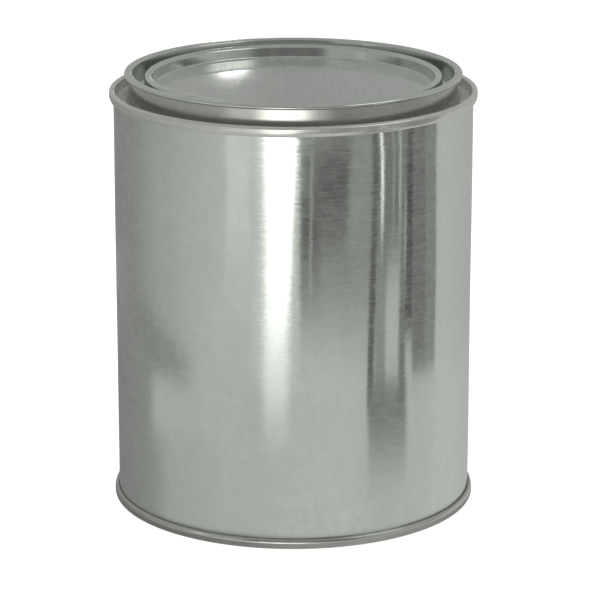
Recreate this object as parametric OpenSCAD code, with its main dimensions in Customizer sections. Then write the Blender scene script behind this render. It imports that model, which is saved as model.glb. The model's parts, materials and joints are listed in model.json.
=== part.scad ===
// One-litre round tinplate paint can: a welded body, a stamped base, a seamed top ring
// with a friction channel, and a plug lid that lifts straight out of it.
// Millimetres, +Z up, origin at the centre of the foot. The side weld faces +Y.

/* [Body] */
// Outside diameter of the body wall
body_d = 108; // [96:1:124]
// Height from the foot to the top of the upper double seam
rim_h = 127.1; // [90:0.1:180]
// Thickness of the body sheet
body_t = 0.24; // [0.2:0.01:0.26]
// Width of the side weld's overlap, measured round the wall
weld_w = 0.9; // [0.6:0.1:1.2]
// Width of the lacquer stripe that covers the weld inside the can
stripe_w = 10; // [6:1:14]

/* [Double seams] */
// Length of each double seam along the can's axis
seam_l = 3; // [2.9:0.05:3.4]
// Thickness of the sheet in the base, the ring and the lid
end_t = 0.28; // [0.26:0.01:0.3]
// Thickness of the sealing compound between the hooks
seal_t = 0.22; // [0.16:0.01:0.24]

/* [Base end] */
// Depth of the base panel above the foot, enough to clear the lid of a can below
base_depth = 6.2; // [5.8:0.1:7]

/* [Top ring] */
// Depth of the countersink between the seam and the raised collar
countersink = 3.6; // [3.2:0.1:4.2]
// Height of the collar above the upper seam
collar_rise = 4.15; // [3.65:0.1:4.65]
// Outside diameter of the collar wall, as a step in from the body wall
collar_step = 4.9; // [4.5:0.1:6]
// Depth of the friction channel below the collar's top
channel_depth = 5.8; // [5:0.2:6.6]

/* [Plug lid] */
// Height of the lid's curl from its underside to its top
curl_h = 1.35; // [1.2:0.05:1.5]
// Height of the lid's level top above the top of the collar
lid_rise = 1.07; // [0.9:0.01:1.4]
// Overhang of the curl beyond the collar wall
curl_reach = 1.6; // [1.5:0.1:2.2]
// Drop from the top of the curl to the top of the lid's inner bead
bead_drop = 0.9; // [0.5:0.1:1]
// Depth of the centre panel below the lid's inner bead
panel_depth = 3.8; // [3:0.1:4.5]
// Clearance between the lid and the ring's friction walls
fit_gap = 0.06; // [0.04:0.01:0.1]

/* [Hidden] */
$fn = 180;

bend_step = 18;  // degrees of bend between two points of an outline
lap = 0.03;      // metal-to-metal clearance inside a double seam
seal_play = 0.02; // clearance either side of the sealing compound
hair = 0.001;     // straight left between two bends that would otherwise meet in a point

// Centrelines of the five layers of a double seam, from the inside of the can outwards.
r_body = body_d / 2;
r_wall = r_body - body_t / 2;
r_chuck = r_body - body_t - lap - end_t / 2;
r_end_hook = r_body + lap + end_t / 2;
r_body_hook = r_end_hook + end_t / 2 + seal_t + body_t / 2;
r_seam = r_body_hook + body_t / 2 + seal_t + end_t / 2;

// The weld's overlap and the stripe that covers it.
weld_proud = 0.06;
weld_end = 0.4;   // bare wall left between the overlap and each seam
stripe_t = 0.12;
r_inside = r_body - body_t;
z_inside_low = base_depth + 2;
z_inside_high = rim_h - countersink - 1;

// Bends and hook ends of a double seam, as distances from the seam's outer face.
seam_corner = 0.62;
seam_face = end_t / 2;
seam_turn = seam_l - end_t / 2;
shoulder = seam_turn - 0.96; // where the seam's face starts to lean in over the hooks
shoulder_lean = 0.3;
body_turn = end_t + seal_t + body_t / 2;
end_hook_tip = body_turn + body_t / 2 + 0.25;
body_hook_tip = seam_turn - 0.55;
seal_line = end_t + seal_t / 2;
seal_tip = shoulder - 0.3;

// Heights and radii of the ring, along the middle of its sheet. Its collar is folded flat
// at the top, and the fold's inner side is the outer wall of the friction channel.
z_countersink = rim_h - countersink - end_t / 2;
z_collar = rim_h + collar_rise - end_t / 2;
z_channel = z_collar + end_t / 2 - channel_depth;
r_collar = r_body - collar_step - end_t / 2;
collar_bend = 0.2;
collar_flare = 0.35; // how much wider the collar is at its foot
collar_root = 1.3;   // bend from the countersink up into the collar
collar_w = 2 * collar_bend;
channel_taper = 0.113; // inward run of the channel's outer wall for each millimetre down
r_lip = r_collar - 4.75;
lip_w = 1.4;
lip_bend = 0.6;
lip_drop = 0.45;  // height of the collar above the ring's inner lip
lip_skirt = 1.9;

// The lid's sheet runs one thickness and one gap inside the ring's.
nest = end_t + fit_gap;
curl_bend = (curl_h - end_t) / 2;
curl_tuck = 1.15; // how far the cut edge is rolled back under the curl
z_curl = z_collar + lid_rise;
r_curl = r_collar + curl_reach;
r_plug = r_collar - collar_w - nest + channel_taper * lid_rise;
r_groove = r_lip + nest;
r_panel = r_lip - lip_w - nest;
z_bead = z_curl - bead_drop;
bead_bend = 0.9;
z_panel = z_bead - panel_depth;
panel_draft = 0.6; // inward run of the wall between the bead and the panel

function unit(v) = v / norm(v);
function left_of(v) = [-v.y, v.x];
function turned(v, a) = [v.x * cos(a) - v.y * sin(a), v.x * sin(a) + v.y * cos(a)];
function turn_between(u, w) = atan2(u.x * w.y - u.y * w.x, u * w);

// Stations [point, normal] round the corner b of a path a-b-c bent to the given radius.
function bend(a, b, c, radius) =
    let (u = unit(b - a), w = unit(c - b), turn = turn_between(u, w), side = sign(turn),
         centre = b - u * radius * tan(abs(turn) / 2) + left_of(u) * radius * side,
         steps = max(1, ceil(abs(turn) / bend_step)))
    [for (i = [0:steps]) let (n = turned(left_of(u), turn * i / steps))
        [centre - n * radius * side, n]];

// Stations along a path of corners [radius from the axis, height, bend radius].
function stations(path) =
    let (p = [for (c = path) [c[0], c[1]]], last = len(p) - 1)
    concat([[p[0], left_of(unit(p[1] - p[0]))]],
           [for (i = [1:last - 1]) each bend(p[i - 1], p[i], p[i + 1], path[i][2])],
           [[p[last], left_of(unit(p[last] - p[last - 1]))]]);

// Sheet metal of thickness t bent along a path, spun round the can's axis.
module spun_sheet(path, t) {
    s = stations(path);
    rotate_extrude()
        polygon(concat([for (i = [0:len(s) - 1]) s[i][0] + s[i][1] * t / 2],
                       [for (i = [len(s) - 1:-1:0]) s[i][0] - s[i][1] * t / 2]));
}

// A strip of cylinder centred on the side weld, w wide, between two radii and two heights.
module weld_strip(w, r_in, r_out, z_low, z_high) {
    span = w / r_body * 180 / PI;
    rotate([0, 0, 90 - span / 2])
        rotate_extrude(angle = span)
            translate([r_in, z_low])
                square([r_out - r_in, z_high - z_low]);
}

// Heights of seam corners: measured down from the rim, or up from the foot.
function at_rim(corners) = [for (c = corners) [c[0], rim_h - c[1], c[2]]];
function reversed(list) = [for (i = [len(list) - 1:-1:0]) list[i]];

body_hook = [[r_body_hook, body_hook_tip, 0],
             [r_body_hook, body_turn, (r_body_hook - r_wall) / 2],
             [r_wall, body_turn, (r_body_hook - r_wall) / 2]];

hook_w = r_seam - shoulder_lean - r_end_hook;
end_hook = [[r_end_hook, end_hook_tip, 0],
            [r_end_hook, seam_turn, hook_w * 0.45],
            [r_seam - shoulder_lean, seam_turn, hook_w * 0.7],
            [r_seam, shoulder, 1.5],
            [r_seam, seam_face, seam_corner],
            [r_chuck, seam_face, seam_corner]];

seal_strip = [[r_chuck + 0.55, seal_line, 0],
              [r_seam - end_t / 2 - seal_t / 2, seal_line, 0.45],
              [r_seam - end_t / 2 - seal_t / 2, seal_tip, 0]];

// The wall is doubled at the weld, so it stands proud on both faces: outside from seam to
// seam, inside only between the base and the ring.
module body_shell() {
    color([0.72, 0.73, 0.71])
    union() {
        spun_sheet(concat(body_hook, at_rim(reversed(body_hook))), body_t);
        weld_strip(weld_w, r_wall, r_body + weld_proud, seam_l + weld_end, rim_h - seam_l - weld_end);
        weld_strip(weld_w, r_inside - weld_proud, r_wall, z_inside_low, z_inside_high);
    }
}

module weld_stripe() {
    r_out = r_inside - seal_play / 2;
    color([0.80, 0.78, 0.70])
    difference() {
        weld_strip(stripe_w, r_out - stripe_t, r_out, z_inside_low, z_inside_high);
        weld_strip(weld_w + 2 * seal_play, r_out - weld_proud, r_out + 1,
                   z_inside_low - 1, z_inside_high + 1);
    }
}

// The base panel steps down from its edge, then rises in a ring bead and a round centre.
module base_end() {
    z_edge = base_depth + 1;
    z_floor = base_depth + end_t / 2;
    z_raised = z_floor + 0.6;
    slope = 0.7;
    soft = 0.5;
    r_bead = r_body * 0.84;
    bead_w = 3;
    r_centre = r_body * 0.55;
    color([0.68, 0.69, 0.67])
    spun_sheet(concat(end_hook, [
        [r_chuck, z_edge, 0.7],
        [r_chuck - 2.2, z_edge, 0.6],
        [r_chuck - 2.9, z_floor, soft],
        [r_bead, z_floor, soft],
        [r_bead - slope, z_raised, soft],
        [r_bead - bead_w + slope, z_raised, soft],
        [r_bead - bead_w, z_floor, soft],
        [r_centre, z_floor, soft],
        [r_centre - slope, z_raised, soft],
        [0, z_raised, 0]]), end_t);
}

module base_seam_seal() {
    color([0.55, 0.62, 0.50])
    spun_sheet(seal_strip, seal_t - 2 * seal_play);
}

module top_ring() {
    r_channel_top = r_collar - collar_w;
    r_channel_low = r_channel_top - channel_taper * (z_collar - z_channel);
    color([0.74, 0.75, 0.72])
    spun_sheet(concat(at_rim(end_hook), [
        [r_chuck, z_countersink, 0.6],
        [r_collar + collar_flare, z_countersink, collar_root],
        [r_collar, z_collar, collar_bend],
        [r_channel_top, z_collar, collar_bend],
        [r_channel_low, z_channel, 0.7],
        [r_lip, z_channel, 0.7],
        [r_lip, z_collar - lip_drop, lip_bend],
        [r_lip - lip_w, z_collar - lip_drop, lip_bend],
        [r_lip - lip_w, z_collar - lip_drop - lip_skirt, 0]]), end_t);
}

module top_seam_seal() {
    color([0.55, 0.62, 0.50])
    spun_sheet(at_rim(seal_strip), seal_t - 2 * seal_play);
}

// From its curl the lid's sheet runs level over the collar, then down into the channel.
module plug_lid() {
    z_groove = z_channel + 0.4;
    z_under = z_curl - 2 * curl_bend;
    r_plug_low = r_plug - channel_taper * (z_curl - z_groove);
    color([0.78, 0.79, 0.76])
    spun_sheet([
        [r_curl - curl_tuck, z_under + 0.35, 0],
        [r_curl - curl_tuck, z_under, 0.25],
        [r_curl, z_under, curl_bend - hair],
        [r_curl, z_curl, curl_bend - hair],
        [r_plug, z_curl, 0.5],
        [r_plug_low, z_groove, 0.8],
        [r_groove, z_groove, 0.8],
        [r_groove, z_bead, bead_bend],
        [r_panel, z_bead, bead_bend],
        [r_panel - panel_draft, z_panel, 0.7],
        [0, z_panel, 0]], end_t);
}

body_shell();
weld_stripe();
base_end();
base_seam_seal();
top_ring();
top_seam_seal();
plug_lid();
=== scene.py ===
"""Paint can of bright tinplate: the looks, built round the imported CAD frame. Metres, +Z up."""
import json
import math

import bmesh
import bpy
import numpy as np
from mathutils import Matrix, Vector


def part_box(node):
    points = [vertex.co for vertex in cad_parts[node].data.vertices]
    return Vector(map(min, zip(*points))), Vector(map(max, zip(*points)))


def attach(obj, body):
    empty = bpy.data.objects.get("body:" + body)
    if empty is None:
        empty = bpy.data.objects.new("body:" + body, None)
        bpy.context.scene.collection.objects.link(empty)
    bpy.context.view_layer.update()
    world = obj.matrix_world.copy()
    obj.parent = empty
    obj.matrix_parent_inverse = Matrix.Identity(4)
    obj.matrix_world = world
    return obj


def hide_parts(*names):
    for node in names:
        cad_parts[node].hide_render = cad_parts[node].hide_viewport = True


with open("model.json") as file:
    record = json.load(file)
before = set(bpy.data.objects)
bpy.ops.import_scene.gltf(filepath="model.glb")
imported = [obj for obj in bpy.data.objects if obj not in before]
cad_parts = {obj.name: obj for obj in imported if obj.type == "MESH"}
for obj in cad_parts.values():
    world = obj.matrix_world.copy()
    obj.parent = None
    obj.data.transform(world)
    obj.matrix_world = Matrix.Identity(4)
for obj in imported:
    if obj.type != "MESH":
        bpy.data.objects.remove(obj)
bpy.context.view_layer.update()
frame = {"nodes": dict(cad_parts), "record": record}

MM = 0.001


# ---------------------------------------------------------------- sizes, in millimetres
def mount(name):
    return next(m for m in frame["record"]["mounts"] if m["name"] == name)


def outer_radius(node):
    low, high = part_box(node)
    return max(high.x, -low.x, high.y, -low.y) / MM


def top_of(node):
    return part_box(node)[1].z / MM


BODY_T = 0.24
END_T = 0.28
LAP = 0.03     # clearance between two sheets inside a double seam
SEAL_T = 0.22  # room for the sealing compound
HAIR = 0.001   # straight left between two bends that would otherwise meet in a point

# Double seams: radii of their layers, and distances of their bends from the seam's outer face.
RIM_H = mount("stacking_rim")["pos_m"][2] / MM
R_SEAM = outer_radius("top_ring") - END_T / 2
R_BODY = R_SEAM - LAP - 1.5 * END_T - 2 * SEAL_T - BODY_T
R_CHUCK = R_BODY - BODY_T - LAP - END_T / 2
R_WALL = R_BODY - BODY_T / 2
R_END_HOOK = R_BODY + LAP + END_T / 2
R_BODY_HOOK = R_END_HOOK + END_T / 2 + SEAL_T + BODY_T / 2
SEAM_L = 3.0
SEAM_CORNER = 0.62
SEAM_FACE = END_T / 2
SEAM_TURN = SEAM_L - END_T / 2
BODY_TURN = END_T + SEAL_T + BODY_T / 2
END_HOOK_TIP = BODY_TURN + BODY_T / 2 + 0.25
BODY_HOOK_TIP = SEAM_TURN - 0.55
SHOULDER = SEAM_TURN - 0.96  # where the seam's face starts to lean in over the hooks
SHOULDER_LEAN = 0.3
SHOULDER_BEND = 1.5

# The base's panel.
BASE_DEPTH = 6.2
Z_BASE = BASE_DEPTH + END_T / 2
BASE_STEP = 0.6   # rise of its ring bead and of its centre
BASE_SLOPE = 0.7  # radius over which they rise
BASE_BEND = 0.5
BEAD_W = 3.0

# The ring: countersink, collar folded flat at its top, friction channel and folded lip.
COUNTERSINK = 3.6
Z_SINK = RIM_H - COUNTERSINK - END_T / 2
SINK_BEND = 0.6
COLLAR_STEP = 4.9
Z_COLLAR = top_of("top_ring") - END_T / 2
R_COLLAR = R_BODY - COLLAR_STEP - END_T / 2
COLLAR_BEND = 0.2
COLLAR_FLARE = 0.35
COLLAR_ROOT = 1.3
R_CHANNEL = R_COLLAR - 2 * COLLAR_BEND
CHANNEL_DEPTH = 5.8
Z_CHANNEL = Z_COLLAR + END_T / 2 - CHANNEL_DEPTH
CHANNEL_TAPER = 0.113
CHANNEL_BEND = 0.7
LIP_STEP = 4.75
R_LIP = R_COLLAR - LIP_STEP
LIP_W = 1.4
LIP_BEND = 0.6
LIP_DROP = 0.45
LIP_SKIRT = 1.9

# The lid, whose sheet runs one thickness and one gap inside the ring's.
FIT_GAP = 0.06
NEST = END_T + FIT_GAP
CURL_BEND = 0.535
CURL_TUCK = 1.15
Z_CURL = top_of("plug_lid") - END_T / 2
R_CURL = outer_radius("plug_lid") - END_T / 2
R_PLUG = R_CHANNEL - NEST + CHANNEL_TAPER * (Z_CURL - Z_COLLAR)
PLUG_BEND = 0.5
R_GROOVE = R_LIP + NEST
Z_GROOVE = Z_CHANNEL + 0.4
GROOVE_BEND = 0.8
R_PANEL = R_LIP - LIP_W - NEST
BEAD_DROP = 0.9
Z_BEAD = Z_CURL - BEAD_DROP
BEAD_BEND = 0.9
PANEL_DEPTH = 3.8
Z_PANEL = Z_BEAD - PANEL_DEPTH
PANEL_DRAFT = 0.6
PANEL_BEND = 0.7
PANEL_DOME = 0.8  # rise of the lid's panel at its middle

# Fineness of the turned meshes.
SEGMENTS = 224
BEND_STEP = 9.0    # degrees of bend between two rings of vertices
EDGE_RING = 0.12   # distance of the supporting ring beside each bend
LONGEST = 2.4      # longest stretch of straight sheet without a ring
CREASE = math.radians(40)  # an edge that turns by more than this is shaded sharp


# ---------------------------------------------------------------- turned sheet metal
def unit(v):
    return v / np.linalg.norm(v)


def left_of(v):
    return np.array([-v[1], v[0]])


def turned(v, angle):
    c, s = math.cos(angle), math.sin(angle)
    return np.array([v[0] * c - v[1] * s, v[0] * s + v[1] * c])


def bend(a, b, c, radius):
    """Stations (point, normal) round the corner b of the path a-b-c."""
    u, w = unit(b - a), unit(c - b)
    turn = math.atan2(u[0] * w[1] - u[1] * w[0], u @ w)
    side = 1 if turn > 0 else -1
    centre = b - u * radius * math.tan(abs(turn) / 2) + left_of(u) * radius * side
    steps = max(2, math.ceil(math.degrees(abs(turn)) / BEND_STEP))
    normals = [turned(left_of(u), turn * i / steps) for i in range(steps + 1)]
    return [(centre - n * radius * side, n) for n in normals]


def stations(path):
    """Stations along a path of corners [radius from the axis, height, bend radius]."""
    points = [np.array(p[:2], float) for p in path]
    first = left_of(unit(points[1] - points[0]))
    last = left_of(unit(points[-1] - points[-2]))
    out = [(points[0], first)]
    for i in range(1, len(path) - 1):
        out += bend(points[i - 1], points[i], points[i + 1], path[i][2])
    out.append((points[-1], last))
    return spaced(out)


def spaced(found):
    """Adds rings beside the bends and along straight sheet, so that it shades evenly."""
    out = [found[0]]
    for (p, n), (q, m) in zip(found, found[1:]):
        gap = np.linalg.norm(q - p)
        if gap > 3 * EDGE_RING and n @ m > 0.9999:
            inner = np.linspace(EDGE_RING, gap - EDGE_RING, max(2, math.ceil(gap / LONGEST)))
            out += [(p + (q - p) * s / gap, n) for s in inner]
        out.append((q, m))
    return out


def outline(path, thickness):
    """Closed outline of a bent sheet: one face out, the other back."""
    found = stations(path)
    half = thickness / 2
    out = [p + n * half for p, n in found] + [p - n * half for p, n in reversed(found)]
    return [(max(r, 0.0), z) for r, z in out]


def at_rim(corners):
    """Seam corners measured down from the rim, as radii and heights."""
    return [[c[0], RIM_H - c[1], c[2]] for c in corners]


def turned_mesh(name, loop, angles, shape=None):
    """Spins a closed outline round +Z. shape(r, angle, z) moves its vertices; angles are radians."""
    loop = np.array(loop)
    angles = np.asarray(angles)
    count, rings = len(angles), len(loop)
    a, r = np.meshgrid(angles, loop[:, 0], indexing="ij")
    z = np.broadcast_to(loop[:, 1], r.shape).copy()
    if shape:
        r, a, z = shape(r.copy(), a, z)
    verts = np.stack([r * np.cos(a), r * np.sin(a), z], -1).reshape(-1, 3) * MM
    on_axis = loop[:, 0] < 1e-6
    index = np.arange(count * rings).reshape(count, rings)
    index[:, on_axis] = index[0, on_axis]
    faces = []
    for i in range(count):
        j = (i + 1) % count
        for k in range(rings):
            m = (k + 1) % rings
            face = [index[i, k], index[j, k], index[j, m], index[i, m]]
            face = [v for n, v in enumerate(face) if v != face[n - 1]]
            if len(face) > 2:
                faces.append([int(v) for v in face])
    return finished(name, verts, faces)


def finished(name, verts, faces):
    """A mesh object with smooth faces that point outwards and no loose vertices."""
    mesh = bpy.data.meshes.new(name)
    mesh.from_pydata([tuple(v) for v in verts], [], faces)
    obj = bpy.data.objects.new(name, mesh)
    bpy.context.scene.collection.objects.link(obj)
    work = bmesh.new()
    work.from_mesh(mesh)
    bmesh.ops.delete(work, geom=[v for v in work.verts if not v.link_faces], context="VERTS")
    bmesh.ops.recalc_face_normals(work, faces=work.faces)
    for face in work.faces:
        face.smooth = True
    for edge in work.edges:
        edge.smooth = edge.calc_face_angle(0.0) < CREASE
    work.to_mesh(mesh)
    work.free()
    return obj


def ring_angles(extra=()):
    """Angles of a turned mesh's columns, in radians: even ones, and extra ones given in degrees."""
    even = np.linspace(0, 2 * math.pi, SEGMENTS, endpoint=False)
    return np.unique(np.round(np.concatenate([even, np.radians(extra)]), 6))


# ---------------------------------------------------------------- the shapes
HOOK_W = R_SEAM - SHOULDER_LEAN - R_END_HOOK
END_HOOK = [[R_END_HOOK, END_HOOK_TIP, 0],
            [R_END_HOOK, SEAM_TURN, HOOK_W * 0.45],
            [R_SEAM - SHOULDER_LEAN, SEAM_TURN, HOOK_W * 0.7],
            [R_SEAM, SHOULDER, SHOULDER_BEND],
            [R_SEAM, SEAM_FACE, SEAM_CORNER],
            [R_CHUCK, SEAM_FACE, SEAM_CORNER]]
HOOK_BEND = (R_BODY_HOOK - R_WALL) / 2 - HAIR
BODY_HOOK = [[R_BODY_HOOK, BODY_HOOK_TIP, 0],
             [R_BODY_HOOK, BODY_TURN, HOOK_BEND],
             [R_WALL, BODY_TURN, HOOK_BEND]]

# The side weld: a lap that stands proud on both faces of the wall.
WELD_ANGLE = 90.0
WELD_W = 0.9
WELD_PROUD = 0.06
WELD_FOOT = 1.25  # reach of the lap's rounded side, as a multiple of half its width
WELD_END = 0.4    # bare wall left between the lap and each seam
WELD_RUN_IN = 0.3  # height over which the lap rises to its full thickness

# Waviness of the wall: depth, waves round the can, height over which they shift by a radian,
# and phase. It dies out towards the seams over the run-in.
WAVES = [(0.045, 3, 31, 0.6), (0.03, 7, 17, 1.0), (0.02, 13, -23, 0.0), (0.03, 2, 12, 0.0)]
WAVE_RUN_IN = 6.0


def waviness(a, z):
    return sum(depth * np.sin(count * a + z / pitch + phase) for depth, count, pitch, phase in WAVES)


def make_body():
    """The wall with its hooks, a little wavy between the seams, and raised over the weld."""
    half = math.degrees(WELD_W / 2 / R_BODY)
    edges = [WELD_ANGLE + s * half * f for s in (-1, 1) for f in (WELD_FOOT, 1.0, 0.8, 0.3)]
    loop = outline(BODY_HOOK + at_rim(BODY_HOOK[::-1]), BODY_T)

    def shape(r, a, z):
        wall = np.abs(r - R_WALL) < BODY_T / 2 + 0.02
        side = np.where(r > R_WALL, 1, -1)
        inner = np.minimum(z - SEAM_L - WELD_END, RIM_H - SEAM_L - WELD_END - z)
        free = np.clip(inner / WAVE_RUN_IN, 0, 1) ** 2
        away = np.abs(np.degrees(a) - WELD_ANGLE) / half
        lap = np.clip((WELD_FOOT - away) / (WELD_FOOT - 1), 0, 1)
        lap = lap * np.clip(inner / WELD_RUN_IN, 0, 1)
        return r + np.where(wall, waviness(a, z) * free + side * lap * WELD_PROUD, 0), a, z

    return turned_mesh("can_body", loop, ring_angles(edges), shape)


def raised(r, width):
    """Corners of a flat step up from the base's panel: outer radius r, to width further in."""
    z = Z_BASE + BASE_STEP
    return [[r, Z_BASE, BASE_BEND], [r - BASE_SLOPE, z, BASE_BEND],
            [r - width + BASE_SLOPE, z, BASE_BEND], [r - width, Z_BASE, BASE_BEND]]


def make_base():
    """The base: countersunk panel with a ring bead and a raised centre."""
    z_edge = BASE_DEPTH + 1.0
    r_bead = R_BODY * 0.84
    r_centre = R_BODY * 0.55
    z_raised = Z_BASE + BASE_STEP
    path = END_HOOK + [
        [R_CHUCK, z_edge, 0.7], [R_CHUCK - 2.2, z_edge, 0.6], [R_CHUCK - 2.9, Z_BASE, BASE_BEND],
        *raised(r_bead, BEAD_W), [r_centre, Z_BASE, BASE_BEND],
        [r_centre - BASE_SLOPE, z_raised, BASE_BEND], [0, z_raised, 0]]
    return turned_mesh("can_base", outline(path, END_T), ring_angles())


def make_ring():
    """The ring: from the seam down its countersink, over the collar and through the channel."""
    r_low = R_CHANNEL - CHANNEL_TAPER * (Z_COLLAR - Z_CHANNEL)
    z_lip = Z_COLLAR - LIP_DROP
    path = at_rim(END_HOOK) + [
        [R_CHUCK, Z_SINK, SINK_BEND], [R_COLLAR + COLLAR_FLARE, Z_SINK, COLLAR_ROOT],
        [R_COLLAR, Z_COLLAR, COLLAR_BEND - HAIR], [R_CHANNEL, Z_COLLAR, COLLAR_BEND - HAIR],
        [r_low, Z_CHANNEL, CHANNEL_BEND], [R_LIP, Z_CHANNEL, CHANNEL_BEND],
        [R_LIP, z_lip, LIP_BEND], [R_LIP - LIP_W, z_lip, LIP_BEND],
        [R_LIP - LIP_W, z_lip - LIP_SKIRT, 0]]
    return turned_mesh("can_ring", outline(path, END_T), ring_angles())


def make_lid():
    """The plug lid, from its curl down the plug wall and over the bead to the domed panel."""
    r_low = R_PLUG - CHANNEL_TAPER * (Z_CURL - Z_GROOVE)
    r_dome = R_PANEL - PANEL_DRAFT - 1.0
    z_under = Z_CURL - 2 * CURL_BEND
    path = [
        [R_CURL - CURL_TUCK, z_under + 0.35, 0], [R_CURL - CURL_TUCK, z_under, 0.25],
        [R_CURL, z_under, CURL_BEND - HAIR], [R_CURL, Z_CURL, CURL_BEND - HAIR],
        [R_PLUG, Z_CURL, PLUG_BEND], [r_low, Z_GROOVE, GROOVE_BEND],
        [R_GROOVE, Z_GROOVE, GROOVE_BEND], [R_GROOVE, Z_BEAD, BEAD_BEND],
        [R_PANEL, Z_BEAD, BEAD_BEND], [R_PANEL - PANEL_DRAFT, Z_PANEL, PANEL_BEND],
        [0, Z_PANEL, 0]]

    def shape(r, a, z):
        inside = np.clip(1 - (r / r_dome) ** 2, 0, 1)
        return r, a, z + PANEL_DOME * inside

    return turned_mesh("lid", outline(path, END_T), ring_angles(), shape)


# ---------------------------------------------------------------- materials
class Graph:
    """A material's node tree with short calls for adding and joining nodes."""

    def __init__(self, name):
        self.material = bpy.data.materials.new(name)
        self.material.use_nodes = True
        self.tree = self.material.node_tree
        self.tree.nodes.clear()
        self.output = self.tree.nodes.new("ShaderNodeOutputMaterial")

    def add(self, kind, inputs=None, **settings):
        """A new shader node with its inputs linked or set."""
        node = self.tree.nodes.new("ShaderNode" + kind)
        for key, value in settings.items():
            setattr(node, key, value)
        for key, value in (inputs or {}).items():
            self.put(node.inputs[key], value)
        return node

    def put(self, socket, value):
        if isinstance(value, bpy.types.NodeSocket):
            self.tree.links.new(value, socket)
        else:
            socket.default_value = value

    def math(self, operation, a, b=0.0):
        return self.add("Math", {0: a, 1: b}, operation=operation).outputs[0]

    def mixed(self, factor, a, b):
        """Colour a where factor is 0, colour b where it is 1."""
        node = self.add("Mix", {0: factor, 6: a, 7: b}, data_type="RGBA")
        return node.outputs[2]

    def range(self, value, low, high, to_low=0.0, to_high=1.0, smooth=False):
        """value carried from the range low..high to to_low..to_high, and held at its ends."""
        node = self.add("MapRange", {0: value, 1: low, 2: high, 3: to_low, 4: to_high})
        node.interpolation_type = "SMOOTHSTEP" if smooth else "LINEAR"
        return node.outputs[0]

    def noise(self, vector, scale, detail=2.0, rough=0.5):
        node = self.add("TexNoise", {"Vector": vector, "Scale": scale, "Detail": detail,
                                     "Roughness": rough})
        return node.outputs[0]

    def stretched(self, vector, scales):
        return self.add("VectorMath", {0: vector, 1: scales}, operation="MULTIPLY").outputs[0]


SPREAD = (0.3, 0.7)  # nearly all values of a noise lie between these
UNEVEN = 0.02        # how far roughness wanders either way

# How finely each pattern in the tin repeats, per metre: along x, y and z where it is stretched.
CLOUDS = 55.0
SPECKS = 900.0
GRIME = 650.0
SMUDGES = (420, 420, 260)
SCORCH_PATCHES = (200, 200, 900)

SCORCHED = (0.20, 0.19, 0.17, 1)
SCORCH_REACH = (0.00045, 0.0011)  # distances from the weld's middle, in metres
CALMER = (0.012, 0.024)  # where along +X the rolling marks grow shallower, in metres


def opaque(colour, share=1.0):
    """A colour with its alpha, darkened to a share of itself."""
    return [*[c * share for c in colour], 1]


def tinplate(name, colour, roughness, grain, streak, haze, scratch, anisotropy=0.0, ripple=0.0,
             matt_within=0.0, weld=False):
    """Bright tinplate. grain is how finely the rolling marks repeat along x, y and z, per metre,
    and streak how deep they are, in metres; haze is the share of light that the tin scatters
    evenly and scratch how far it rises and falls from mark to mark; ripple is how far the marks
    throw a reflection sideways, in radians. Nearer to the axis than matt_within, in metres, the
    tin scatters more."""
    g = Graph(name)
    place = g.add("TexCoord").outputs["Object"]
    marks = g.noise(g.stretched(place, grain), 1.0, 4.0, 0.6)
    cloud = g.noise(place, CLOUDS, 3.0)
    normal = tin_normal(g, place, marks, grain, streak, ripple)
    rough = g.math("ADD", g.range(marks, *SPREAD, -UNEVEN, UNEVEN), roughness)
    rough = g.math("ADD", rough, g.range(cloud, *SPREAD, -UNEVEN, UNEVEN))
    tone = tin_tone(g, place, marks, cloud, colour)
    if weld:
        scorch = weld_scorch(g, place)
        tone = g.mixed(scorch, tone, SCORCHED)
        rough = g.math("ADD", rough, g.math("MULTIPLY", scorch, 0.2))
    tangent = g.add("Tangent", direction_type="RADIAL", axis="Z").outputs[0]
    metal = g.add("BsdfPrincipled", {
        "Base Color": tone, "Metallic": 1.0, "Roughness": rough, "Anisotropic": anisotropy,
        "Anisotropic Rotation": 0.25, "Tangent": tangent, "Normal": normal})
    scatter = g.add("BsdfDiffuse", {"Color": tone, "Normal": normal})
    share = scattered_share(g, place, marks, haze, scratch, matt_within)
    both = g.add("MixShader", {0: share, 1: metal.outputs[0], 2: scatter.outputs[0]})
    g.put(g.output.inputs[0], both.outputs[0])
    return g.material


def tin_normal(g, place, marks, grain, streak, ripple):
    """Bumps of fine and broad rolling marks and of specks, on top of the ripple."""
    broad = g.noise(g.stretched(place, [s * 0.22 for s in grain]), 1.0, 2.0)
    specks = g.noise(place, SPECKS, 2.0, 0.7)
    height = g.math("ADD", g.math("MULTIPLY", marks, 0.6), g.math("MULTIPLY", broad, 0.7))
    height = g.math("ADD", height, g.math("MULTIPLY", specks, 0.2))
    bump = g.add("Bump", {"Height": height, "Strength": 1.0, "Distance": streak})
    if ripple:
        g.put(bump.inputs["Normal"], rippled(g, place, grain, ripple))
    return bump.outputs[0]


def rippled(g, place, grain, ripple):
    """The surface normal, swung to and fro round the can's axis from one rolling mark to the next.
    The marks are shallower towards +X."""
    marks = g.noise(g.stretched(place, [s * 1.6 for s in grain]), 1.0, 3.0, 0.7)
    side = g.add("SeparateXYZ", {0: place}).outputs[0]
    depth = g.range(side, *CALMER, 1.0, 0.4, smooth=True)
    swing = g.math("MULTIPLY", g.range(marks, 0.25, 0.75, -2.5 * ripple, 2.5 * ripple), depth)
    normal = g.add("NewGeometry").outputs["Normal"]
    along = g.add("VectorMath", {0: (0, 0, 1), 1: normal}, operation="CROSS_PRODUCT").outputs[0]
    push = g.add("VectorMath", {0: along}, operation="SCALE")
    g.put(push.inputs["Scale"], swing)
    moved = g.add("VectorMath", {0: normal, 1: push.outputs[0]}, operation="ADD").outputs[0]
    return g.add("VectorMath", {0: moved}, operation="NORMALIZE").outputs[0]


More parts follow.
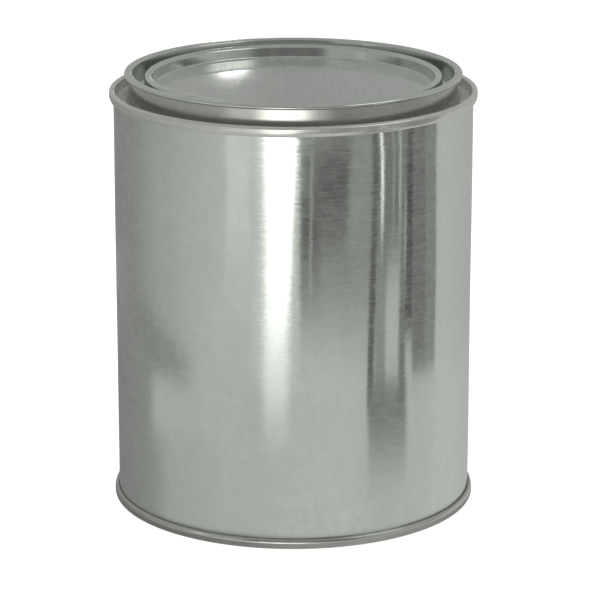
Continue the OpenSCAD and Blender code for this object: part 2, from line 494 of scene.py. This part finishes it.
def tin_tone(g, place, marks, cloud, colour):
    """Colour of the tin: cloudy, smudged and darker along the rolling marks."""
    tone = g.mixed(g.range(cloud, 0.35, 0.65), opaque(colour, 0.93), opaque(colour))
    smudge = g.noise(g.stretched(place, SMUDGES), 1.0, 5.0, 0.7)
    tone = g.mixed(g.range(smudge, 0.38, 0.62, 0, 0.8), tone, opaque(colour, 0.9))
    return g.mixed(g.range(marks, 0.35, 0.7, 0, 0.3), tone, opaque(colour, 0.88))


def weld_scorch(g, place):
    """How dark the wall is burnt: patchy along the weld on the back, and 0 elsewhere."""
    parts = g.add("SeparateXYZ", {0: place})
    across = g.math("ABSOLUTE", parts.outputs[0])
    behind = g.math("GREATER_THAN", parts.outputs[1], 0.0)
    near = g.range(across, *SCORCH_REACH, 1.0, 0.0, smooth=True)
    patch = g.noise(g.stretched(place, SCORCH_PATCHES), 1.0, 3.0)
    return g.math("MULTIPLY", g.math("MULTIPLY", near, behind), g.range(patch, 0.3, 0.6, 0.5, 0.8))


def scattered_share(g, place, marks, haze, scratch, matt_within):
    """Share of light that the tin scatters: uneven by rolling marks and grime, more inside."""
    share = g.math("ADD", g.range(marks, *SPREAD, -scratch, scratch), haze)
    grime = g.noise(place, GRIME, 4.0, 0.65)
    share = g.math("ADD", share, g.range(grime, 0.35, 0.65, -0.55 * scratch, 0.55 * scratch))
    flat = g.stretched(place, (1, 1, 0))
    radius = g.add("VectorMath", {0: flat}, operation="LENGTH").outputs["Value"]
    return g.math("ADD", share, g.range(radius, matt_within - 2e-5, matt_within, 0.3, 0.0))


def coating(name, colour, grain, dark, depth, roughness):
    """Compound or lacquer whose colour, thickness and roughness follow one flow pattern. grain is
    how finely the pattern repeats along x, y and z, per metre, and depth is in metres; the colour
    goes down to the share dark of itself."""
    g = Graph(name)
    place = g.add("TexCoord").outputs["Object"]
    flow = g.noise(g.stretched(place, grain), 1.0, 3.0)
    tone = g.mixed(flow, opaque(colour, dark), opaque(colour))
    bump = g.add("Bump", {"Height": flow, "Strength": 1.0, "Distance": depth})
    shader = g.add("BsdfPrincipled", {
        "Base Color": tone, "Roughness": g.range(flow, *SPREAD, *roughness),
        "Normal": bump.outputs[0]})
    g.put(g.output.inputs[0], shader.outputs[0])
    return g.material


STEEL = (0.591, 0.625, 0.577)
RING_STEEL = (0.567, 0.58, 0.53)  # the ends are a little duller and warmer than the wall
# The base's tin is darker than the ring's: partly its duller finish, partly painted shade standing
# in for the dark round the can's foot.
DULL_AND_SHADED_BASE_STEEL = (0.522, 0.534, 0.488)
RING_GRAIN = (150.0, 150.0, 3400.0)  # marks run round the can
CROSS_GRAIN = (1500.0, 60.0, 60.0)   # marks run straight across a stamped disc

# Each piece of tinplate: how it's made, the body it rides on, the CAD node it hides and stands in
# for, the name it gives its material, and the finish.
PIECES = [
    (make_body, "can", "body_shell", "tinplate_body",
     dict(colour=STEEL, roughness=0.10, grain=RING_GRAIN, streak=3.0e-6, haze=0.12, scratch=0.08,
          anisotropy=0.75, ripple=0.010, matt_within=R_WALL * MM, weld=True)),
    (make_base, "can", "base_end", "tinplate_base",
     dict(colour=DULL_AND_SHADED_BASE_STEEL, roughness=0.18, grain=RING_GRAIN, streak=1.5e-6, haze=0.12,
          scratch=0.04, matt_within=R_WALL * MM)),
    (make_ring, "can", "top_ring", "tinplate_ring",
     dict(colour=RING_STEEL, roughness=0.18, grain=RING_GRAIN, streak=1.5e-6, haze=0.28,
          scratch=0.025)),
    (make_lid, "lid", "plug_lid", "tinplate_lid",
     dict(colour=STEEL, roughness=0.11, grain=CROSS_GRAIN, streak=1.2e-6, haze=0.14,
          scratch=0.04)),
]
for make, body, node, slot, finish in PIECES:
    obj = make()
    obj.data.materials.append(tinplate(slot, **finish))
    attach(obj, body)
    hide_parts(node)

compound = coating("seam_compound", (0.55, 0.62, 0.50), grain=(400, 400, 400), dark=0.75,
                   depth=2e-5, roughness=(0.55, 0.75))
film = coating("stripe_lacquer", (0.80, 0.78, 0.70), grain=(300, 300, 60), dark=0.8,
               depth=3e-5, roughness=(0.25, 0.4))
for node, material in (("base_seam_seal", compound), ("top_seam_seal", compound),
                       ("weld_stripe", film)):
    cad = frame["nodes"][node]
    cad.data.materials.clear()
    cad.data.materials.append(material)


# ---------------------------------------------------------------- studio
# The camera looks down at the can's axis.
EYE_TILT = math.radians(15.95)
EYE_DISTANCE = 0.927
AIM_Z = 0.06215
EYE = np.array([0, -EYE_DISTANCE * math.cos(EYE_TILT), AIM_Z + EYE_DISTANCE * math.sin(EYE_TILT)])
SENSOR = 36.0         # width in millimetres
LENS = 184.881356     # focal length in millimetres
SHIFT = 0.0027118644  # sideways, as a share of the picture's width

# The table round the can as its wall mirrors it. Each row: sight angle in degrees, then the
# table's brightness where the wall mirrors it at its very foot, low down and high up. The sight
# angle is twice the angle whose sine is the distance from the can's middle line, as a share of
# half its width, so it's close to the angle by which the wall turns a line of sight.
TABLE = [
    (-176, 0.20, 0.20, 0.24), (-160, 0.20, 0.22, 0.25), (-150, 0.20, 0.25, 0.27),
    (-130, 0.18, 0.30, 0.32), (-120, 0.18, 0.33, 0.37), (-110, 0.18, 0.36, 0.43),
    (-100, 0.19, 0.45, 0.50), (-90, 0.20, 0.55, 0.53), (-70, 0.22, 0.59, 0.63),
    (-50, 0.25, 0.65, 0.70), (-30, 0.29, 0.67, 0.72), (-20, 0.34, 0.67, 0.90),
    (0, 0.42, 0.70, 0.78), (30, 0.46, 0.73, 0.76), (60, 0.46, 0.67, 0.70),
    (100, 0.39, 0.71, 0.66), (110, 0.36, 0.745, 0.70), (120, 0.34, 0.745, 0.70),
    (140, 0.30, 0.68, 0.61), (160, 0.28, 0.55, 0.49), (176, 0.26, 0.45, 0.40)]

# Shadows and lights on the table: sight angles from and to at its low end and at its high end,
# softness of its sides in degrees; height on the wall and softness of its low end, then of its
# high end, in millimetres; brightness.
TABLE_CARDS = [
    ((-100, -30), (-100, -30), 14, (35, 8), (46, 6), 0.66),
    ((-112, -80), (-185, -148), 16, (54, 12), (76, 8), 0.30),
    ((-42, -31), (-42, -31), 5, (100, 24), (150, 2), 0.92),
    ((5, 60), (5, 60), 1.5, (88, 40), (150, 2), 0.34),
    ((8, 34), (8, 38), 2, (99, 10), (121.5, 2.5), 0.04),
    ((6, 16), (6, 20), 4, (96, 26), (110, 10), 0.09),
    ((11.5, 11.8), (11.5, 11.8), 0.3, (86, 12), (119, 2), 0.9),
    ((50.5, 53.5), (53.5, 57.5), 1.5, (44, 8), (150, 2), 0.10),
    ((57, 62), (57, 62), 3, (50, 12), (90, 10), 0.36),
    ((57.5, 73), (57.5, 73), 1.5, (90, 14), (150, 2), 0.18),
    ((54, 77), (54, 77), 6, (43, 32), (47, 5), 0.23),
    ((58.2, 59.2), (58.2, 59.2), 0.5, (101, 12), (150, 2), 2.0),
    ((67.3, 67.9), (67.3, 67.9), 0.4, (96, 8), (150, 2), 0.5),
    ((72.3, 73.1), (72.3, 73.1), 0.4, (98, 8), (150, 2), 0.75),
    ((75, 78), (75, 78), 2, (44, 8), (150, 2), 0.20),
    ((79, 84), (79, 84), 1, (66, 8), (150, 2), 0.05),
    ((77.3, 78.1), (77.3, 78.1), 0.4, (84, 4), (98, 6), 0.7),
    ((85, 97), (85, 97), 1, (54, 7), (150, 2), 0.18),
    ((96, 105.5), (96, 105.5), 1, (54, 7), (150, 2), 0.28),
    ((-15, -8), (-15, -6), 9, (64, 36), (150, 2), 1.5),
    ((-15, -9), (-16, -6), 6, (78, 20), (150, 2), 2.2),
    ((-12, -3), (-12, 5), 1.2, (86, 16), (150, 2), 2.6),
]

SIDE_REACH = 86.4       # degrees to either side of the front, as far as the camera sees the wall
SIDE_COUNT = 560
FOOT_BAND = (3.0, 3.6)  # heights in millimetres over which the foot's level becomes the low one
HIGH_BAND = (44, 56)    # and the low one the high one
ROWS = np.concatenate([[0, 1, 2, 3, 3.4], np.linspace(4, 142, 139)])  # millimetres up the wall
TABLE_Z = 0.0002        # metres: the sheet lies just over the floor

# The wall round the table. Each row: azimuth in degrees (0 behind the camera, positive towards
# +X), then brightness near the table, a little higher up, and above that. Its sizes are in metres.
WALL_R = 0.78
WALL_TOP = 0.9
WALL_STEP = 0.4  # degrees
WALL_ROWS = 300
WALL = [
    (-180, 0.30, 0.32, 0.32), (-160, 0.38, 0.42, 0.46), (-120, 0.36, 0.40, 0.46),
    (-100, 0.34, 0.44, 0.46), (-60, 0.34, 0.52, 0.46), (-34, 0.46, 0.50, 0.50),
    (-24, 0.6, 0.15, 0.55), (30, 0.30, 0.15, 0.50), (60, 0.33, 0.58, 0.50),
    (100, 0.36, 0.60, 0.46), (120, 0.38, 0.58, 0.46), (160, 0.38, 0.42, 0.46),
    (180, 0.30, 0.32, 0.32)]
# Between the first two heights the level near the table passes into the next, and between the
# last two that one into the last.
WALL_LEVELS = (0.05, 0.08, 0.19, 0.22)

# Lights and shadows on the wall, as on the table but by azimuth and by height in metres.
WALL_CARDS = [
    ((-20, 30), (-20, 30), 13, (0.08, 0.02), (0.36, 0.03), 0.15),
    ((-24, 26), (-24, 26), 13, (0.50, 0.06), (0.74, 0.06), 0.28),
    ((-38, 16), (-38, 16), 14, (0.0, 0.01), (0.07, 0.02), 1.1),
    ((-16, 4), (-16, 4), 12, (0.0, 0.01), (0.07, 0.02), 4.0),
    ((47, 73), (47, 73), 16, (0.50, 0.05), (0.80, 0.05), 2.0),
    ((-62, -55), (-62, -55), 3, (0.10, 0.02), (0.17, 0.02), 1.1),
    ((-177.3, -176.8), (-177.3, -176.8), 0.6, (0.250, 0.007), (0.257, 0.007), 10.0),
    ((-180, -179.1), (-180, -179.1), 0.5, (0.236, 0.006), (0.244, 0.006), 0.10),
    ((179.0, 180), (179.0, 180), 0.5, (0.236, 0.006), (0.244, 0.006), 0.10),
]


def columns(table, at):
    """Values of each column of a table of rows, at places given by its first column."""
    rows = np.array(table)
    return [np.interp(at, rows[:, 0], rows[:, i]) for i in range(1, rows.shape[1])]


def smooth_step(outside, soft):
    """1 while outside is negative, falling to 0 where it reaches soft."""
    s = np.clip(1 - outside / soft, 0, 1)
    return s * s * (3 - 2 * s)


def with_cards(glow, cards, angle, height):
    """Brightness after each card of a list is laid over it in turn."""
    for low, high, soft_a, (foot, soft_foot), (head, soft_head), value in cards:
        rise = np.clip((height - foot) / (head - foot), 0, 1)
        left = low[0] + (high[0] - low[0]) * rise
        right = low[1] + (high[1] - low[1]) * rise
        cover = smooth_step(left - angle, soft_a) * smooth_step(angle - right, soft_a)
        cover = cover * smooth_step(foot - height, soft_foot)
        cover = cover * smooth_step(height - head, soft_head)
        glow = glow * (1 - cover) + value * cover
    return glow


def ramp(value, low, high):
    """0 below low, 1 above high and even between."""
    return np.clip((value - low) / (high - low), 0, 1)


def sight_angle(side):
    """Sight angle, in degrees, of the wall at an azimuth in radians."""
    r = R_BODY * MM
    across = np.arctan2(r * np.sin(side), -EYE[1] - r * np.cos(side))
    widest = math.tan(math.asin(r / -EYE[1]))
    return 2 * np.degrees(np.arcsin(np.clip(np.tan(across) / widest, -1, 1)))


def mirrored_table():
    """Grid of the table's points that the can's wall mirrors, and their brightness."""
    side = np.radians(np.linspace(-SIDE_REACH, SIDE_REACH, SIDE_COUNT))
    a, z = np.meshgrid(side, ROWS * MM, indexing="ij")
    normal = np.stack([np.sin(a), -np.cos(a), np.zeros(a.shape)], -1)
    point = normal * R_BODY * MM
    point[..., 2] = z
    sight = point - EYE
    away = sight - 2 * (sight * normal).sum(-1, keepdims=True) * normal
    hit = point + away * (z / -away[..., 2])[..., None]
    hit[..., 2] = TABLE_Z
    angle = sight_angle(a)
    height = z / MM
    foot, low, high = columns(TABLE, angle)
    lower = ramp(height, *FOOT_BAND)
    upper = ramp(height, *HIGH_BAND)
    glow = (foot * (1 - lower) + low * lower) * (1 - upper) + high * upper
    return hit, with_cards(glow, TABLE_CARDS, angle, height)


def studio_wall():
    """Grid of the studio wall's points, and their brightness."""
    azimuth = np.arange(-180, 180.1, WALL_STEP)
    height = np.linspace(0, WALL_TOP, WALL_ROWS)
    a, h = np.meshgrid(azimuth, height, indexing="ij")
    near, middle, far = columns(WALL, a)
    up = ramp(h, *WALL_LEVELS[:2])
    top = ramp(h, *WALL_LEVELS[2:])
    glow = (near * (1 - up) + middle * up) * (1 - top) + far * top
    turn = np.radians(a)
    points = np.stack([WALL_R * np.sin(turn), -WALL_R * np.cos(turn), h], -1)
    return points, with_cards(glow, WALL_CARDS, a, h)


def glowing_sheet(name, points, glow):
    """A sheet seen only in reflections, as bright at each point of its grid as glow says."""
    count, rows = glow.shape
    i, k = np.meshgrid(np.arange(count - 1), np.arange(rows - 1), indexing="ij")
    corner = i * rows + k
    faces = np.stack([corner, corner + rows, corner + rows + 1, corner + 1], -1).reshape(-1, 4)
    mesh = bpy.data.meshes.new(name)
    mesh.from_pydata(points.reshape(-1, 3).tolist(), [], faces.tolist())
    layer = mesh.attributes.new("glow", "FLOAT", "POINT")
    layer.data.foreach_set("value", glow.astype(np.float32).ravel())
    obj = bpy.data.objects.new(name, mesh)
    bpy.context.scene.collection.objects.link(obj)
    g = Graph(name)
    value = g.add("Attribute", attribute_name="glow", attribute_type="GEOMETRY").outputs["Fac"]
    light = g.add("Emission", {"Color": WHITE, "Strength": value})
    g.put(g.output.inputs[0], light.outputs[0])
    g.material.cycles.emission_sampling = "NONE"
    mesh.materials.append(g.material)
    obj.visible_camera = False
    obj.visible_shadow = False
    obj.visible_diffuse = False
    obj.visible_transmission = False
    return obj


FLOOR_SIZE = 6.0
FLOOR_TINT = (0.48, 0.50)
FLOOR_GLOW = 0.8      # keeps the floor white to the camera
FLOOR_MIRRORED = 0.5  # its level in the metal
WORLD_MIRRORED = 0.38
LAMP_SIZE = 0.7
LAMP_POWER = 6.0
LAMP_PLACE = (0.05, -0.1, 0.9)
WHITE = (1, 1, 1, 1)


def make_floor():
    """A pale floor, white to the camera and of one grey in the metal."""
    g = Graph("floor")
    path = g.add("LightPath")
    place = g.add("TexCoord").outputs["Object"]
    tint = g.range(g.noise(place, 30.0, 2.0), *SPREAD, *FLOOR_TINT)
    colour = g.add("CombineColor", {0: tint, 1: tint, 2: tint}).outputs[0]
    matt = g.add("BsdfDiffuse", {"Color": colour, "Roughness": 0.5})
    glow = g.add("Emission", {"Color": WHITE, "Strength": FLOOR_GLOW})
    bright = g.add("AddShader", {0: matt.outputs[0], 1: glow.outputs[0]})
    dim = g.add("Emission", {"Color": WHITE, "Strength": FLOOR_MIRRORED})
    mix = g.add("MixShader", {0: path.outputs["Is Glossy Ray"], 1: bright.outputs[0],
                              2: dim.outputs[0]})
    g.put(g.output.inputs[0], mix.outputs[0])
    bpy.ops.mesh.primitive_plane_add(size=FLOOR_SIZE)
    obj = bpy.context.object
    obj.name = "floor"
    obj.data.materials.append(g.material)
    return obj


def make_soft_light():
    """A broad lamp overhead that gives the floor its faint shadow and isn't seen in the metal."""
    lamp = bpy.data.lights.new("soft_light", "AREA")
    lamp.shape = "DISK"
    lamp.size = LAMP_SIZE
    lamp.energy = LAMP_POWER
    obj = bpy.data.objects.new("soft_light", lamp)
    bpy.context.scene.collection.objects.link(obj)
    obj.location = LAMP_PLACE
    obj.visible_glossy = False
    obj.visible_camera = False
    return obj


def make_world():
    """White behind the can; a dimmer ceiling and surroundings in its reflections."""
    world = bpy.data.worlds.new("studio")
    bpy.context.scene.world = world
    world.use_nodes = True
    tree = world.node_tree
    path = tree.nodes.new("ShaderNodeLightPath")
    level = tree.nodes.new("ShaderNodeMapRange")
    level.inputs["To Min"].default_value = WORLD_MIRRORED
    level.inputs["To Max"].default_value = 1.0
    tree.links.new(path.outputs["Is Camera Ray"], level.inputs["Value"])
    tree.nodes["Background"].inputs[0].default_value = WHITE
    tree.links.new(level.outputs["Result"], tree.nodes["Background"].inputs[1])


def make_camera():
    """A long lens at the eye's place, aimed at the can's axis."""
    camera = bpy.data.cameras.new("camera")
    camera.sensor_width = SENSOR
    camera.lens = LENS
    camera.shift_x = SHIFT
    camera.clip_start = 0.01
    camera.clip_end = 50.0
    obj = bpy.data.objects.new("camera", camera)
    bpy.context.scene.collection.objects.link(obj)
    obj.location = EYE.tolist()
    aim = Vector((0, 0, AIM_Z)) - obj.location
    obj.rotation_euler = aim.to_track_quat("-Z", "Y").to_euler()
    bpy.context.scene.camera = obj


glowing_sheet("table_mirrored", *mirrored_table())
glowing_sheet("studio_wall", *studio_wall())
make_floor()
make_soft_light()
make_world()
make_camera()
bpy.context.scene.view_settings.view_transform = "Standard"
